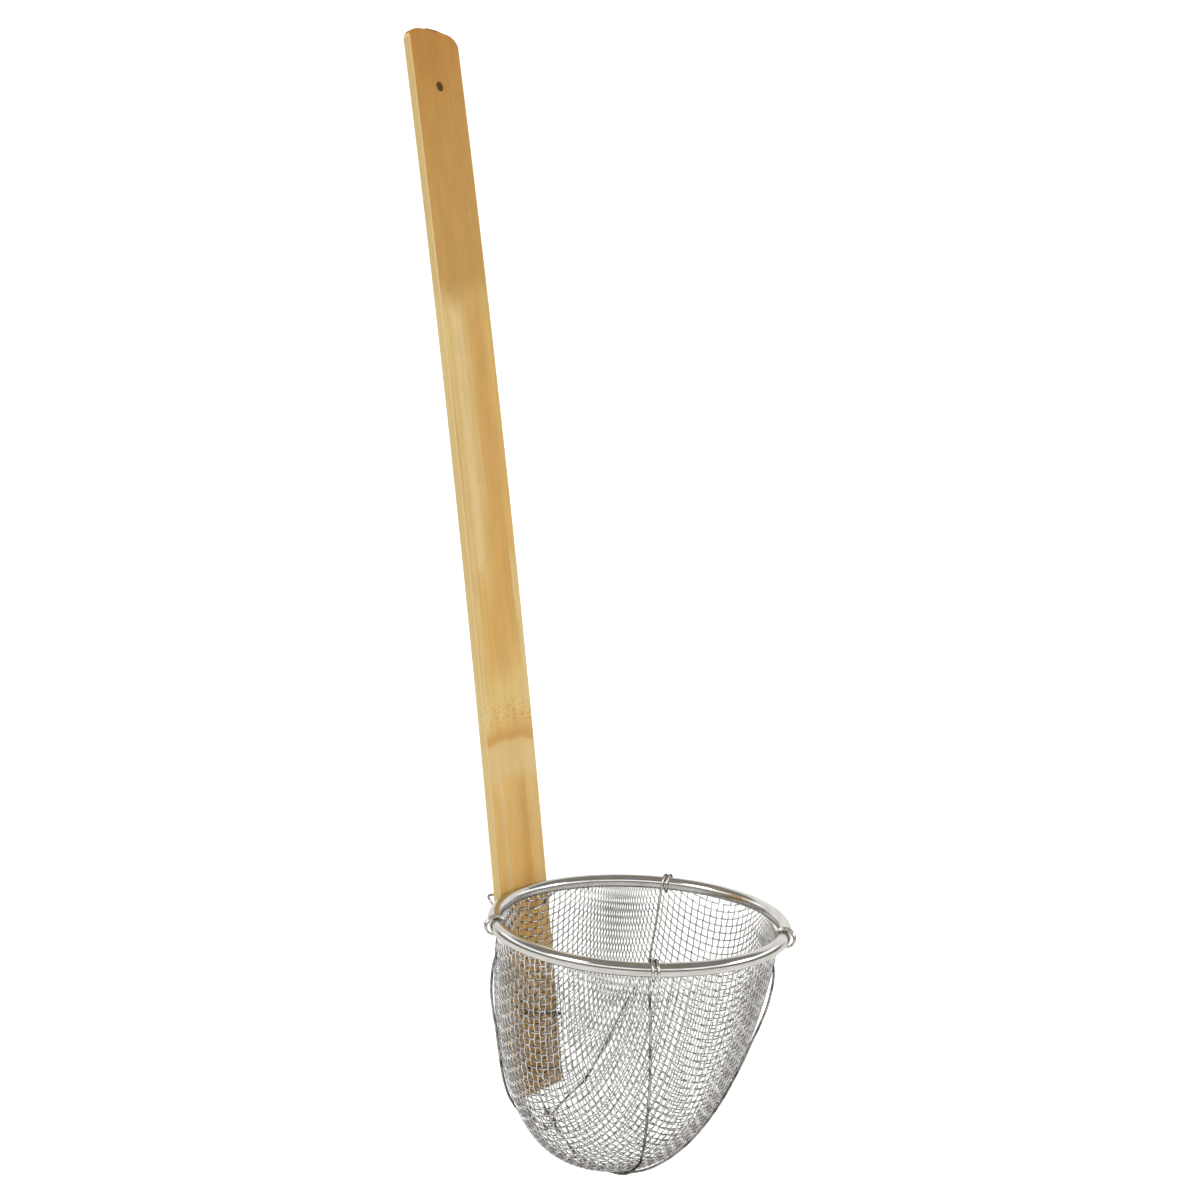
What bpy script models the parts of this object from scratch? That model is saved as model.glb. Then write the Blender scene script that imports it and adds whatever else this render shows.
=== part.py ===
"""Long-handled wire-cloth tea strainer, in metres, +Z up.

A deep bag of woven steel cloth hangs from a rolled steel rim. Four rib wires hook over the rim, are
threaded out through the cloth just below it and run down outside the bag. A bamboo slat stands
against the rim on the +Y side, bound to it by a wire tie and two wire staples. Everything is laid
out round the centre of the rim, and the whole object is then carried by one empty that puts the
hanging hole of the slat at the world origin.
"""

import math

import bmesh
import bpy
from mathutils import Matrix, Vector

MM = 0.001
GAP = 0.3 * MM

# Rim: a tube rolled from sheet, open along a slot that grips the top of the cloth.
RIM_OUTER_RADIUS = 75 * MM
RIM_TUBE_RADIUS = 3.4 * MM
RIM_WALL = 0.7 * MM
RIM_CENTRE_RADIUS = RIM_OUTER_RADIUS - RIM_TUBE_RADIUS
SLOT_ANGLE = math.radians(240)
SLOT_WIDTH = 1.9 * MM
RIM_STEPS = 64
RIM_ARC_STEPS = 11

# Bag of cloth: a round section whose centre drifts towards the handle with depth.
CLOTH_THICKNESS = 1.2 * MM
BAG_RADIUS = 69.7 * MM
BAG_DEPTH = 126.8 * MM
BAG_DRIFT = 14.4 * MM
BAG_DRIFT_POWER = 0.91
BAG_DEPTH_POWER = 1.79
BAG_RADIUS_POWER = 2.87
BAG_ROWS = 15
BAG_COLUMNS = 52
BAG_FLAT_BLEND = 1.2 * MM
COLLAR_DEPTH = 1.6 * MM

# Handle: a bamboo slat, slightly bowed outwards, thinner at its top.
SLAT_WIDTH = 37.4 * MM
SLAT_FOOT_THICKNESS = 4.8 * MM
SLAT_HEAD_THICKNESS = 4.4 * MM
SLAT_BELOW_RIM = 106 * MM
SLAT_ABOVE_RIM = 448.9 * MM
SLAT_LEAN_AT_RIM = math.radians(9.45)
SLAT_BOW = math.radians(6.3)
SLAT_EDGE = 0.7 * MM
SLAT_HEAD_CORNER = (9.5 * MM, 6.5 * MM)
SLAT_HEAD_CROWN = 1.2 * MM
SLAT_FOOT_CORNER = (3.5 * MM, 3.5 * MM)
SLAT_BAYS = 14
SLAT_FOOT_ARC = 3
SLAT_HEAD_ARC = 6
HANG_HOLE_BELOW_HEAD = 30 * MM
HANG_HOLE_RADIUS = 2.4 * MM
HANG_HOLE_CHAMFER = 0.7 * MM

# Wires.
WIRE_RADIUS = 0.62 * MM
HOOK_RADIUS = RIM_TUBE_RADIUS + WIRE_RADIUS + 0.38 * MM
HOOK_SLACK = 0.9 * MM
HOOK_PITCH = 2.4 * MM
HOOK_STEPS = 24
TIE_RADIUS = 0.6 * MM
STAPLE_RADIUS = 0.55 * MM
FRONT_RIB_AZIMUTH = math.radians(131)
RIGHT_RIB_AZIMUTH = math.radians(-152.7)
LEFT_RIB_AZIMUTH = math.radians(48.9)
BACK_RIB_AZIMUTH = math.radians(-63)
THREADED_DEPTH = 25 * MM
WRAP_TURNS = 1.6
WRAP_PITCH = 1.65 * MM
WRAP_RADIUS = 2 * WIRE_RADIUS + 0.36 * MM


# ---------------------------------------------------------------- scene and materials


def clear_scene():
    for item in list(bpy.data.objects):
        bpy.data.objects.remove(item, do_unlink=True)


def collection(name):
    made = bpy.data.collections.new(name)
    bpy.context.scene.collection.children.link(made)
    return made


def material(name, colour, roughness, metallic):
    made = bpy.data.materials.new(name)
    made.use_nodes = True
    shader = made.node_tree.nodes["Principled BSDF"]
    shader.inputs["Base Color"].default_value = (*colour, 1.0)
    shader.inputs["Roughness"].default_value = roughness
    shader.inputs["Metallic"].default_value = metallic
    made.diffuse_color = (*colour, 1.0)
    return made


def place(item, home, frame, finish=None):
    """Put an object in its collection, under the frame empty, with its finish."""
    for group in list(item.users_collection):
        group.objects.unlink(item)
    home.objects.link(item)
    item.parent = frame
    if finish:
        item.data.materials.append(finish)
    return item


def mesh_object(name, points, faces):
    mesh = bpy.data.meshes.new(name)
    mesh.from_pydata([tuple(p) for p in points], [], faces)
    mesh.update()
    return bpy.data.objects.new(name, mesh)


def shade_round(item, angle=40):
    item.data.shade_smooth()
    item.data.set_sharp_from_angle(angle=math.radians(angle))


# ---------------------------------------------------------------- curves


def smooth_path(knots, step):
    """Points about one step apart on a Catmull-Rom curve through the knots."""
    ends = [2 * knots[0] - knots[1], *knots, 2 * knots[-1] - knots[-2]]
    points = []
    for before, start, end, after in zip(ends, ends[1:], ends[2:], ends[3:]):
        count = max(1, round((end - start).length / step))
        for i in range(count):
            t = i / count
            points.append(
                0.5
                * (
                    2 * start
                    + t * (end - before)
                    + t * t * (2 * before - 5 * start + 4 * end - after)
                    + t * t * t * (3 * start - before - 3 * end + after)
                )
            )
    points.append(knots[-1])
    return points


def wire(name, points, radius):
    """A round wire through the points, with flat ends."""
    curve = bpy.data.curves.new(name, "CURVE")
    curve.dimensions = "3D"
    curve.bevel_depth = radius
    curve.bevel_resolution = 2
    curve.use_fill_caps = True
    spline = curve.splines.new("POLY")
    spline.points.add(len(points) - 1)
    for knot, point in zip(spline.points, points):
        knot.co = (*point, 1.0)
    return bpy.data.objects.new(name, curve)


def as_mesh(item, home):
    """A mesh object made from a curve object, with its caps welded on."""
    home.objects.link(item)
    shape = item.evaluated_get(bpy.context.evaluated_depsgraph_get())
    mesh = bpy.data.meshes.new_from_object(shape)
    weld(mesh)
    made = bpy.data.objects.new(item.name, mesh)
    made.matrix_world = item.matrix_world
    name = item.name
    bpy.data.objects.remove(item, do_unlink=True)
    made.name = name
    return made


def weld(mesh):
    shape = bmesh.new()
    shape.from_mesh(mesh)
    bmesh.ops.remove_doubles(shape, verts=shape.verts, dist=0.00001)
    shape.to_mesh(mesh)
    shape.free()


def passage(name, points, radius, guides, frame):
    """A cutter that leaves a wire its gap where it goes through another piece."""
    first = points[0] + (points[0] - points[1]).normalized() * GAP
    last = points[-1] + (points[-1] - points[-2]).normalized() * GAP
    cutter = as_mesh(wire(name, [first, *points[1:-1], last], radius + GAP), guides)
    place(cutter, guides, frame)
    cutter.hide_render = True
    cutter.display_type = "WIRE"
    return cutter


def cut(item, cutter):
    step = item.modifiers.new("cut_" + cutter.name, "BOOLEAN")
    step.operation = "DIFFERENCE"
    step.solver = "EXACT"
    step.object = cutter


# ---------------------------------------------------------------- layout


def polar(azimuth, radius, height):
    """A point at an azimuth counted from the handle (+Y) towards -X."""
    return Vector((-radius * math.sin(azimuth), radius * math.cos(azimuth), height))


def slat_lean(along):
    return SLAT_LEAN_AT_RIM + SLAT_BOW * along


def slat_point(along, across, out):
    """A point of the slat: along it from rim level, across it, and out from its inner face."""
    middle = slat_lean(along / 2)
    lean = slat_lean(along)
    y = RIM_OUTER_RADIUS + 0.5 * MM + along * math.sin(middle)
    z = along * math.cos(middle)
    return Vector((across, y + out * math.cos(lean), z - out * math.sin(lean)))


def slat_thickness(along):
    share = (along + SLAT_BELOW_RIM) / (SLAT_ABOVE_RIM + SLAT_BELOW_RIM)
    return SLAT_FOOT_THICKNESS + share * (SLAT_HEAD_THICKNESS - SLAT_FOOT_THICKNESS)


def bag_centre(depth_share):
    return BAG_DRIFT * depth_share**BAG_DRIFT_POWER


def bag_limit(height):
    """The furthest that the cloth may reach towards the slat at this height."""
    along = max(height / math.cos(SLAT_LEAN_AT_RIM), -SLAT_BELOW_RIM)
    return slat_point(along, 0, 0).y - GAP - 0.1 * MM


def bag_point(turn, azimuth):
    """Outer face of the cloth: turn goes from 0 at the rim to a quarter circle at the bottom."""
    reach = math.cos(turn)
    share = max(0.0, 1 - reach**BAG_RADIUS_POWER) ** (1 / BAG_DEPTH_POWER)
    flat = polar(azimuth, BAG_RADIUS * reach, -BAG_DEPTH * share)
    flat.y += bag_centre(share)
    over = (flat.y - bag_limit(flat.z)) / BAG_FLAT_BLEND
    flat.y -= BAG_FLAT_BLEND * math.log1p(math.exp(min(over, 40)))
    return flat


def bag_level(point):
    """Below zero inside the bag's outer face, above zero outside it."""
    share = min(max(-point.z / BAG_DEPTH, 0.0), 1.4)
    radius = math.hypot(point.x, point.y - bag_centre(share))
    return (radius / BAG_RADIUS) ** BAG_RADIUS_POWER + share**BAG_DEPTH_POWER - 1


def bag_slope(point):
    reach = 0.02 * MM
    steps = [Vector((reach, 0, 0)), Vector((0, reach, 0)), Vector((0, 0, reach))]
    return Vector([(bag_level(point + s) - bag_level(point - s)) / (2 * reach) for s in steps])


def beside_bag(point, stand_off):
    """The point moved square to the cloth until it stands off its outer face."""
    for _ in range(12):
        slope = bag_slope(point)
        distance = bag_level(point) / slope.length
        point = point + (stand_off - distance) * slope.normalized()
    return point


def on_wall(degrees, depth, stand_off=WIRE_RADIUS + GAP + 0.1 * MM):
    """A rib's place on the wall of the bag, at an azimuth and a depth below the rim."""
    azimuth = math.radians(degrees)
    share = depth / BAG_DEPTH
    reach = max(0.0, 1 - share**BAG_DEPTH_POWER) ** (1 / BAG_RADIUS_POWER)
    drift = bag_centre(share)
    across = drift * math.sin(azimuth)
    radius = drift * math.cos(azimuth) + math.sqrt((BAG_RADIUS * reach) ** 2 - across**2)
    return beside_bag(polar(azimuth, radius, -depth), stand_off)


def on_base(x, y, depth, stand_off=WIRE_RADIUS + GAP + 0.1 * MM):
    """A rib's place on the bottom of the bag, near a point in plan."""
    return beside_bag(Vector((x, y, -depth)), stand_off)


# ---------------------------------------------------------------- rim and bag


def rim_profile():
    """Half-plane outline of the rolled tube, out from the slot and back along the inside."""
    outer_half = math.asin(SLOT_WIDTH / 2 / RIM_TUBE_RADIUS)
    inner_radius = RIM_TUBE_RADIUS - RIM_WALL
    inner_half = math.asin(SLOT_WIDTH / 2 / inner_radius)
    points = []
    for radius, half, way in ((RIM_TUBE_RADIUS, outer_half, -1), (inner_radius, inner_half, 1)):
        sweep = 2 * (math.pi - half)
        for i in range(RIM_ARC_STEPS + 1):
            angle = SLOT_ANGLE + way * (half + sweep * i / RIM_ARC_STEPS)
            points.append((RIM_CENTRE_RADIUS + radius * math.cos(angle), radius * math.sin(angle)))
    return points


def rim_ring():
    outline = [(x, 0, z) for x, z in rim_profile()]
    count = len(outline)
    mesh = bpy.data.meshes.new("rim_ring")
    mesh.from_pydata(outline, [(i, (i + 1) % count) for i in range(count)], [])
    ring = bpy.data.objects.new("rim_ring", mesh)
    turn = ring.modifiers.new("turn", "SCREW")
    turn.steps = RIM_STEPS
    turn.render_steps = RIM_STEPS
    turn.use_merge_vertices = True
    turn.merge_threshold = 0.00001
    turn.use_smooth_shade = True
    return ring


def collar_rows():
    """Two rows that carry the cloth from the top of the bag up into the slot of the rim."""
    side = Vector((math.cos(SLOT_ANGLE), 0, math.sin(SLOT_ANGLE)))
    square = Vector((-side.z, 0, side.x))
    centre = Vector((RIM_CENTRE_RADIUS, 0, 0)) + square * CLOTH_THICKNESS / 2
    mouth = centre + side * (RIM_TUBE_RADIUS + 0.6 * MM)
    return [centre + side * COLLAR_DEPTH, mouth]


def mesh_basket():
    rows = []
    azimuths = [2 * math.pi * j / BAG_COLUMNS for j in range(BAG_COLUMNS)]
    for row in collar_rows():
        rows.append([polar(a, row.x, row.z) for a in azimuths])
    first_turn = math.radians(7)
    for i in range(BAG_ROWS):
        turn = first_turn + (math.pi / 2 - first_turn) * i / BAG_ROWS
        rows.append([bag_point(turn, a) for a in azimuths])
    points = [p for row in rows for p in row]
    points.append(bag_point(math.pi / 2, 0))
    faces = []
    for i in range(len(rows) - 1):
        for j in range(BAG_COLUMNS):
            k = (j + 1) % BAG_COLUMNS
            here, below = i * BAG_COLUMNS, (i + 1) * BAG_COLUMNS
            faces.append((here + j, below + j, below + k, here + k))
    last = (len(rows) - 1) * BAG_COLUMNS
    for j in range(BAG_COLUMNS):
        faces.append((last + j, len(points) - 1, last + (j + 1) % BAG_COLUMNS))
    bag = mesh_object("mesh_basket", points, faces)
    shell = bag.modifiers.new("cloth", "SOLIDIFY")
    shell.thickness = CLOTH_THICKNESS
    shell.offset = -1
    shade_round(bag)
    return bag


# ---------------------------------------------------------------- rib wires


def hook(azimuth, way):
    """A turn and a half round the rim tube, from the free tip outside to the rib inside."""
    tip_angle, rib_angle = math.radians(-395), math.radians(184)
    points = []
    for i in range(HOOK_STEPS + 1):
        angle = tip_angle + (rib_angle - tip_angle) * i / HOOK_STEPS
        loose = HOOK_SLACK * max(0.0, math.cos(angle + math.radians(20)))
        out = HOOK_RADIUS + loose
        slide = way * HOOK_PITCH * (rib_angle - angle) / (2 * math.pi)
        here = azimuth + slide / RIM_CENTRE_RADIUS
        radius = RIM_CENTRE_RADIUS + out * math.cos(angle)
        points.append(polar(here, radius, out * math.sin(angle)))
    return points


def threading(azimuth, swing):
    """Knots that take a rib down inside the bag, out through the cloth and into a shallow bow.

    The swing is how far the rib's azimuth moves, in degrees, over the depth of the bow.
    """
    stand_offs = [(7, -2.2), (13.5, -0.7), (20, 1.3), (28, 2.1), (36, 2.3), (45, 1.7)]
    start = math.degrees(azimuth)
    return [on_wall(start + swing * d / 45, d * MM, off * MM) for d, off in stand_offs]


def rib_from_hook(azimuth, way, swing, knots):
    coil = hook(azimuth, way)
    return coil[:-1] + smooth_path([coil[-1], *threading(azimuth, swing), *knots], 4.5 * MM)


def keel_axis(share):
    """The straight stretch of the keel wire, below the slat's foot, that the side ribs grip."""
    low = Vector((0, 47.6 * MM, -120.6 * MM))
    high = Vector((0, 56.2 * MM, -112.2 * MM))
    return low.lerp(high, share), (high - low).normalized()


def grip(share, side):
    """Turns of a rib's end round the keel wire; side is the side of X that it comes from."""
    start, along = keel_axis(share)
    away = Vector((0, along.z, -along.y))
    points = []
    steps = round(WRAP_TURNS * 10)
    for i in range(steps + 1):
        angle = math.pi / 2 - 2 * math.pi * WRAP_TURNS * i / steps
        ring = Vector((-side * math.cos(angle), 0, 0)) + away * math.sin(angle)
        rise = along * WRAP_PITCH * WRAP_TURNS * i / steps
        points.append(start + rise + WRAP_RADIUS * ring)
    return points


def side_rib(azimuth, way, side, swing, fall, share):
    """A rib beside the handle: down the wall, then back under the slat's foot to the keel wire."""
    knots = [on_wall(side * a, d * MM) for a, d in fall]
    coil = grip(share, -side)
    lead = coil[0] + Vector((-side * 5 * MM, 0.4 * MM, 0.3 * MM))
    return rib_from_hook(azimuth, way, swing, [*knots, lead, coil[0]]) + coil[1:]


def left_rib_path():
    fall = [(49, 54), (48.5, 62), (46.5, 74), (43, 84), (37, 94), (28, 104), (18, 110.5)]
    return side_rib(LEFT_RIB_AZIMUTH, 1, 1, 0, fall, 0.12)


def back_rib_path():
    fall = [(54.5, 54), (51, 61), (46.3, 72), (42.6, 81), (37, 91), (28, 103), (17, 109)]
    return side_rib(BACK_RIB_AZIMUTH, -1, -1, 5, fall, 0.58)


def right_rib_path():
    wall = [(-158, 54), (-161, 64), (-166, 80), (-171, 93), (-177, 104)]
    knots = [on_wall(a, d * MM) for a, d in wall]
    base = [(-3.4, -25.5, 112), (-6.2, -16.5, 119), (-8.2, -8, 123), (-8.6, 1, 125.5), (-7.6, 9, 126)]
    knots += [on_base(x * MM, y * MM, d * MM) for x, y, d in base]
    return rib_from_hook(RIGHT_RIB_AZIMUTH, -1, -3, knots)


def front_rib_path():
    """The front rib runs on under the bag as its keel and ends in the back of the slat."""
    wall = [(134.3, 55), (134.9, 65), (135.3, 80), (136, 93), (136.2, 103), (136, 110)]
    knots = [on_wall(a, d * MM) for a, d in wall]
    base = [(-17, -13.5, 118), (-13.4, -5, 123), (-10.6, 5, 126), (-9.4, 15, 126.5)]
    base += [(-8, 25, 126), (-4.2, 34.5, 124.5)]
    knots += [on_base(x * MM, y * MM, d * MM) for x, y, d in base]
    knots.append(on_base(-0.9 * MM, 41.5 * MM, 122 * MM, 1.9 * MM))
    knots += [keel_axis(share)[0] for share in (0, 0.34, 0.67, 1)]
    return rib_from_hook(FRONT_RIB_AZIMUTH, 1, 2.5, knots) + keel_tail()[1:]


def keel_tail():
    """From the keel, round the slat's foot, up its back and into a blind hole."""
    foot = -SLAT_BELOW_RIM
    clear = WIRE_RADIUS + GAP + 0.15 * MM
    back = slat_thickness(foot)
    turn = [
        keel_axis(1)[0],
        slat_point(foot - 2.6 * MM, 0, 1.2 * MM),
        slat_point(foot - 1.2 * MM, 0, back + 0.6 * MM),
        slat_point(foot + 1.6 * MM, 0, back + clear),
        slat_point(foot + 9 * MM, 0, back + clear),
        slat_point(foot + 12.4 * MM, 0, back + clear - 0.1 * MM),
        slat_point(foot + 13.4 * MM, 0, back - 0.3 * MM),
        slat_point(foot + 13.4 * MM, 0, back - 2.8 * MM),
    ]
    return smooth_path(turn, 1.0 * MM)


# ---------------------------------------------------------------- ties


def cloth_inside(x, depth, clear):
    """A point inside the bag, beside the cloth in front of the slat."""
    share = depth / BAG_DEPTH
    reach = BAG_RADIUS * max(0.0, 1 - share**BAG_DEPTH_POWER) ** (1 / BAG_RADIUS_POWER)
    y = bag_centre(share) + math.sqrt(reach * reach - x * x)
    y = min(y, bag_limit(-depth)) - CLOTH_THICKNESS - clear
    return Vector((x, y, -depth))


def rim_tie_path():
    """Bent round the back of the slat at the rim, with both ends turned in through the cloth."""
    half = SLAT_WIDTH / 2
    clear = TIE_RADIUS + GAP + 0.25 * MM
    back = SLAT_FOOT_THICKNESS + clear
    knots = [
        cloth_inside(-6.5 * MM, 7.0 * MM, clear + 0.4 * MM),
        cloth_inside(-12 * MM, 6.4 * MM, clear + 0.1 * MM),
        cloth_inside(-19 * MM, 6.6 * MM, clear),
        slat_point(-6.6 * MM, -half - 2.8 * MM, -4.4 * MM),
        slat_point(-4.8 * MM, -half - 3.8 * MM, 0.4 * MM),
        slat_point(-1.0 * MM, -half - 3.6 * MM, 4.4 * MM),
        slat_point(0.6 * MM, -half - 0.4 * MM, back + 0.8 * MM),
        slat_point(-1 * MM, -half + 8 * MM, back + 0.2 * MM),
        slat_point(-2.6 * MM, 0, back),
        slat_point(-4.2 * MM, half - 7 * MM, back + 0.1 * MM),
        slat_point(-5.2 * MM, half - 0.2 * MM, back + 0.4 * MM),
        slat_point(-5.8 * MM, half + 1.4 * MM, 2.6 * MM),
        slat_point(-6.4 * MM, half + 0.4 * MM, -1.6 * MM),
        slat_point(-7.0 * MM, half - 5 * MM, -3.0 * MM),
        cloth_inside(6.5 * MM, 7.8 * MM, clear),
        cloth_inside(-0.5 * MM, 8.8 * MM, clear + 0.5 * MM),
    ]
    return smooth_path(knots, 2.0 * MM)


def staple_path(middle, along, half, tilt):
    """Crown inside the bag, legs through cloth and slat, tips bent flat on the slat's back."""
    clear = STAPLE_RADIUS + GAP + 0.1 * MM
    crown_out = -(CLOTH_THICKNESS + GAP + 0.8 * MM + clear)
    back = slat_thickness(along)
    left, right = middle - half, middle + half
    turned_in = 7 * MM
    knots = [
        slat_point(along + tilt, left + turned_in, back + clear),
        slat_point(along + tilt, left + 1.6 * MM, back + clear),
        slat_point(along + tilt, left, back - 0.8 * MM),
        slat_point(along + tilt, left, crown_out + 1.4 * MM),
        slat_point(along + tilt, left + 1.3 * MM, crown_out),
        slat_point(along - tilt, right - 1.3 * MM, crown_out),
        slat_point(along - tilt, right, crown_out + 1.4 * MM),
        slat_point(along - tilt, right, back - 0.8 * MM),
        slat_point(along - tilt, right - 1.6 * MM, back + clear),
        slat_point(along - tilt, right - turned_in, back + clear),
    ]
    return smooth_path(knots, 1.5 * MM)


# ---------------------------------------------------------------- handle


def slat_stations():
    """Places along the slat, its half width there and how far its faces are drawn in."""
    half = SLAT_WIDTH / 2
    foot_across, foot_along = SLAT_FOOT_CORNER
    head_across, head_along = SLAT_HEAD_CORNER
    foot, head = -SLAT_BELOW_RIM, SLAT_ABOVE_RIM - SLAT_HEAD_CROWN
    stations = [(foot, half - foot_across - SLAT_EDGE, SLAT_EDGE)]
    for i in range(SLAT_FOOT_ARC + 1):
        angle = math.pi / 2 * (1 - i / SLAT_FOOT_ARC)
        drop = foot + SLAT_EDGE + foot_along * (1 - math.sin(angle))
        stations.append((drop, half - foot_across * (1 - math.cos(angle)), 0))
    first, last = stations[-1][0], head - head_along
    for i in range(1, SLAT_BAYS):
        stations.append((first + (last - first) * i / SLAT_BAYS, half, 0))
    for i in range(SLAT_HEAD_ARC + 1):
        angle = math.pi / 2 * i / SLAT_HEAD_ARC
        rise = head - head_along * (1 - math.sin(angle))
        stations.append((rise, half - head_across * (1 - math.cos(angle)), 0))
    stations.append((SLAT_ABOVE_RIM, 4 * MM, SLAT_EDGE))
    return stations


def slat_section(along, half, draw):
    """Eight corners of the slat's section, a rectangle with its corners taken off."""
    back = slat_thickness(along)
    corner = SLAT_EDGE - draw / 2
    near, far = draw, back - draw
    wide, narrow = half, half - corner
    outline = [(-narrow, near), (narrow, near), (wide, near + corner), (wide, far - corner)]
    outline += [(narrow, far), (-narrow, far), (-wide, far - corner), (-wide, near + corner)]
    return [slat_point(along, across, out) for across, out in outline]


def handle():
    rows = [slat_section(*station) for station in slat_stations()]
    sides = len(rows[0])
    points = [p for row in rows for p in row]
    faces = []
    for i in range(len(rows) - 1):
        for j in range(sides):
            k = (j + 1) % sides
            here, above = i * sides, (i + 1) * sides
            faces.append((here + j, here + k, above + k, above + j))
    faces.append(tuple(reversed(range(sides))))
    faces.append(tuple(range(len(points) - sides, len(points))))
    slat = mesh_object("handle", points, faces)
    shade_round(slat, 30)
    return slat


def hang_hole_place():
    return SLAT_ABOVE_RIM - HANG_HOLE_BELOW_HEAD


def hole_cutter(guides, frame):
    """A drill through the slat with a countersink at each face, as one turned shape."""
    along = hang_hole_place()
    lean = slat_lean(along)
    half = slat_thickness(along) / 2
    wide = HANG_HOLE_RADIUS + HANG_HOLE_CHAMFER
    reach = half + 1 * MM
    outline = [
        (0, reach),
        (wide + 1 * MM, reach),
        (HANG_HOLE_RADIUS, half - HANG_HOLE_CHAMFER),
        (HANG_HOLE_RADIUS, HANG_HOLE_CHAMFER - half),
        (wide + 1 * MM, -reach),
        (0, -reach),
    ]
    mesh = bpy.data.meshes.new("hang_hole_drill")
    mesh.from_pydata([(x, 0, z) for x, z in outline], [(i, i + 1) for i in range(5)], [])
    drill = bpy.data.objects.new("hang_hole_drill", mesh)
    turn = drill.modifiers.new("turn", "SCREW")
    turn.steps = 24
    turn.render_steps = 24
    turn.use_merge_vertices = True
    turn.merge_threshold = 0.00001
    place(drill, guides, frame)
    drill.location = slat_point(along, 0, half)
    drill.rotation_euler = (math.pi / 2 - lean, 0, 0)
    drill.hide_render = True
    drill.display_type = "WIRE"
    return drill


# ---------------------------------------------------------------- assembly


def build():
    clear_scene()
    parts = collection("tea_strainer")
    guides = collection("cutters")
    frame = bpy.data.objects.new("hanging_frame", None)
    parts.objects.link(frame)
    along = hang_hole_place()
    frame.location = -slat_point(along, 0, slat_thickness(along) / 2)

    steel = material("rim_steel", (0.72, 0.71, 0.69), 0.16, 1.0)
    cloth = material("cloth_steel", (0.66, 0.66, 0.66), 0.28, 1.0)
    dark = material("wire_steel", (0.45, 0.44, 0.42), 0.32, 1.0)
    bamboo = material("bamboo", (0.64, 0.42, 0.19), 0.5, 0.0)

    place(rim_ring(), parts, frame, steel)
    bag = place(mesh_basket(), parts, frame, cloth)
    slat = place(handle(), parts, frame, bamboo)

    front, right = front_rib_path(), right_rib_path()
    left, back = left_rib_path(), back_rib_path()
    tie = rim_tie_path()
    upper = staple_path(4.3 * MM, -65.7 * MM, 11.8 * MM, 3.0 * MM)
    lower = staple_path(1.6 * MM, -94 * MM, 11.0 * MM, 3.0 * MM)
    wires = {
        "front_rib_keel": (front, WIRE_RADIUS),
        "right_rib": (right, WIRE_RADIUS),
        "left_rib": (left, WIRE_RADIUS),
        "back_rib": (back, WIRE_RADIUS),
        "rim_tie": (tie, TIE_RADIUS),
        "upper_staple": (upper, STAPLE_RADIUS),
        "lower_staple": (lower, STAPLE_RADIUS),
    }
    for name, (path, radius) in wires.items():
        place(wire(name, path, radius), parts, frame, dark)

    for name, path in (("front", front), ("right", right), ("left", left), ("back", back)):
        through = [point for point in path if point.z > -THREADED_DEPTH]
        cut(bag, passage(name + "_hook_way", through, WIRE_RADIUS, guides, frame))
    for name, path, radius in (
        ("tie", tie, TIE_RADIUS),
        ("upper", upper, STAPLE_RADIUS),
        ("lower", lower, STAPLE_RADIUS),
    ):
        cut(bag, passage(name + "_cloth_way", path, radius, guides, frame))
    for name, path in (("upper", upper), ("lower", lower)):
        cut(slat, passage(name + "_slat_way", path, STAPLE_RADIUS, guides, frame))
    cut(slat, passage("keel_way", keel_tail(), WIRE_RADIUS, guides, frame))
    cut(slat, hole_cutter(guides, frame))


build()
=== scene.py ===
"""Looks of the long-handled wire-cloth tea strainer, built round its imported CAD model.

Lengths are in metres. Every piece is laid out round the centre of the rim, with the handle at +Y,
and its object then stands where the frame holds the rim. The bag is real woven cloth: a square net
of wires is draped over the bag's shape so that only its angles change, and each wire then goes over
and under the ones it crosses.
"""

import math

import bpy
import numpy as np
from mathutils import Matrix, Vector


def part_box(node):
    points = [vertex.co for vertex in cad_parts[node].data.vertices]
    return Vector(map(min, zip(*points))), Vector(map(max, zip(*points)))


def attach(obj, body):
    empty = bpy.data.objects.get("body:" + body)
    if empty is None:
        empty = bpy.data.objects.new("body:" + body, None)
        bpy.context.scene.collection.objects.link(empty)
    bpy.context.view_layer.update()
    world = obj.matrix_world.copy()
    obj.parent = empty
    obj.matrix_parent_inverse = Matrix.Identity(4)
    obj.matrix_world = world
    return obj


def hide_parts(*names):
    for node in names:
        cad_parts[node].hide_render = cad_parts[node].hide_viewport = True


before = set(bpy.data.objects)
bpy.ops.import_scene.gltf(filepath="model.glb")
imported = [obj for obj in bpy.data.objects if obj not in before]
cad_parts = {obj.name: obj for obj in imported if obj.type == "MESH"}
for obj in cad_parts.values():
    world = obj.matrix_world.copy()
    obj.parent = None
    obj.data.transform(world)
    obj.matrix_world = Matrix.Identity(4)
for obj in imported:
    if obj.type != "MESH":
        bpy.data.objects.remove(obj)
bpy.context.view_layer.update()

MM = 0.001

# Rim: a rolled tube that grips the top of the cloth in a slot on its inner lower side.
RIM_OUTER_RADIUS = 75 * MM
TUBE_RADIUS = 3.4 * MM
TUBE_WALL = 0.7 * MM
RIM_RADIUS = RIM_OUTER_RADIUS - TUBE_RADIUS
SLOT_ANGLE = math.radians(240)
SLOT_WIDTH = 1.9 * MM
SLOT_LIP = 0.3 * MM
SEAM_AZIMUTH = math.radians(3)
SEAM_HALF_WIDTH = 0.45 * MM
SEAM_DEPTH = 0.07 * MM

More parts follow.
